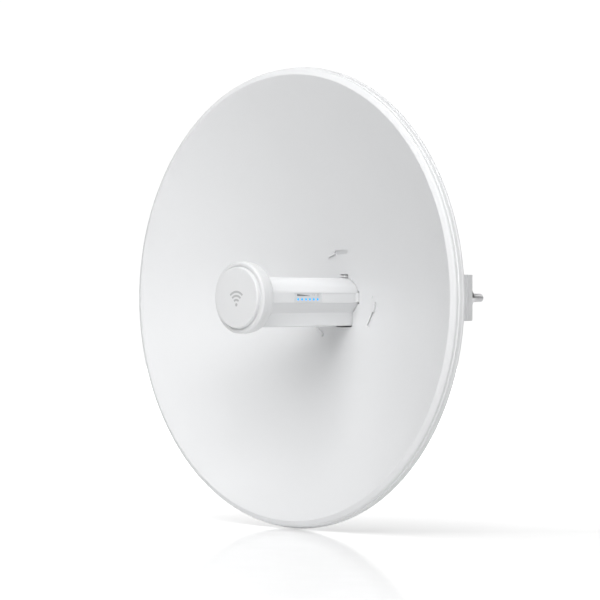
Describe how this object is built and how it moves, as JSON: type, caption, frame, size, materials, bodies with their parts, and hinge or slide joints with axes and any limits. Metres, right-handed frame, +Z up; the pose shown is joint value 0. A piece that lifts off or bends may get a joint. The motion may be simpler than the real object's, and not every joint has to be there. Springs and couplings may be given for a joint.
{
  "type": "outdoor wireless bridge",
  "caption": "White dish radio bridge: stepped-rim reflector, slide-out feed with round head and status lamps, tilting hub and toothed pole clamp.",
  "frame": {"origin": "on the axis of the clamped pole, level with the dish's axis at zero tilt", "axes": "+Z up along the pole, the dish looks along -Y, +X to its right seen from the front"},
  "size_m": [0.42, 0.2885, 0.42],
  "materials": {
    "reflector_paint": "fine white powder coat, satin",
    "feed_plastic": "white UV-stable polycarbonate, fine matte grain",
    "hub_plastic": "white glass-filled plastic, matte",
    "seal_rubber": "dark silicone rubber, matte",
    "bare_aluminium": "drawn aluminium, satin",
    "probe_brass": "plated brass, bright",
    "board_laminate": "green solder mask over glass laminate",
    "tinned_steel": "tinned steel sheet, satin",
    "jack_shell": "nickel-plated shell, satin",
    "lamp_body": "moulded lamp body, gloss",
    "light_guide": "clear acrylic lit blue, gloss",
    "label_film": "pale printed film, matte",
    "stainless": "stainless steel, machined satin",
    "button_plastic": "dark grey plastic, matte",
    "bracket_paint": "white powder coat over steel, satin"
  },
  "bodies": {
    "bracket": {"pole_bracket": "bracket_paint", "carriage_bolts": "stainless"},
    "antenna": {"dish_reflector": "reflector_paint", "rear_housing": "hub_plastic", "pivot_bolts": "stainless", "pivot_washers": "stainless", "lock_bolts": "stainless", "lock_washers": "stainless"},
    "feed": {"feed_upper_shell": "feed_plastic", "feed_lower_shell": "feed_plastic", "head_cup": "feed_plastic", "head_cap": "feed_plastic", "head_seal": "seal_rubber", "sub_reflector": "bare_aluminium", "feed_horn": "bare_aluminium", "feed_probes": "probe_brass", "radio_board": "board_laminate", "rf_shield": "tinned_steel", "heat_spreader": "bare_aluminium", "ethernet_jack": "jack_shell", "led_emitters": "lamp_body", "led_light_guide": "light_guide", "status_label": "label_film", "tail_cap": "feed_plastic", "tail_seal": "seal_rubber", "tail_screws": "stainless"},
    "latch": {"feed_latch": "feed_plastic"},
    "reset": {"reset_button": "button_plastic"},
    "door": {"port_door": "hub_plastic"},
    "jaw": {"clamp_jaw": "bracket_paint"},
    "nut_left": {"flange_nut_left": "stainless"},
    "nut_right": {"flange_nut_right": "stainless"}
  },
  "joints": [
    {"name": "elevation_tilt", "type": "hinge", "parent": "bracket", "child": "antenna", "pos_m": [0, -0.052, 0], "axis": [1, 0, 0], "range_deg": [-20, 20]},
    {"name": "feed_slide", "type": "slide", "parent": "antenna", "child": "feed", "axis": [0, -1, 0], "range_m": [0, 0.04]},
    {"name": "feed_latch_lift", "type": "hinge", "parent": "antenna", "child": "latch", "pos_m": [0, -0.086, 0.0202], "axis": [-1, 0, 0], "range_deg": [0, 3], "stiffness_Nm_per_rad": 2},
    {"name": "reset_press", "type": "slide", "parent": "feed", "child": "reset", "axis": [0, -1, 0], "range_m": [0, 0.0008], "stiffness_N_per_m": 400},
    {"name": "port_door_slide", "type": "slide", "parent": "antenna", "child": "door", "axis": [0, 0, -1], "range_m": [0, 0.028]},
    {"name": "clamp_close", "type": "slide", "parent": "bracket", "child": "jaw", "axis": [0, -1, 0], "range_m": [0, 0.02979]},
    {"name": "nut_left_turn", "type": "hinge", "parent": "jaw", "child": "nut_left", "pos_m": [-0.032, 0.029, 0], "axis": [0, -1, 0], "range_deg": [0, 8571.3]},
    {"name": "nut_right_turn", "type": "hinge", "parent": "jaw", "child": "nut_right", "pos_m": [0.032, 0.029, 0], "axis": [0, -1, 0], "range_deg": [0, 8575.6]}
  ],
  "couplings": [
    {"joint": "clamp_close", "follows": "nut_left_turn", "m_per_rad": 0.00019894},
    {"joint": "nut_right_turn", "follows": "nut_left_turn", "ratio": 1}
  ]
}
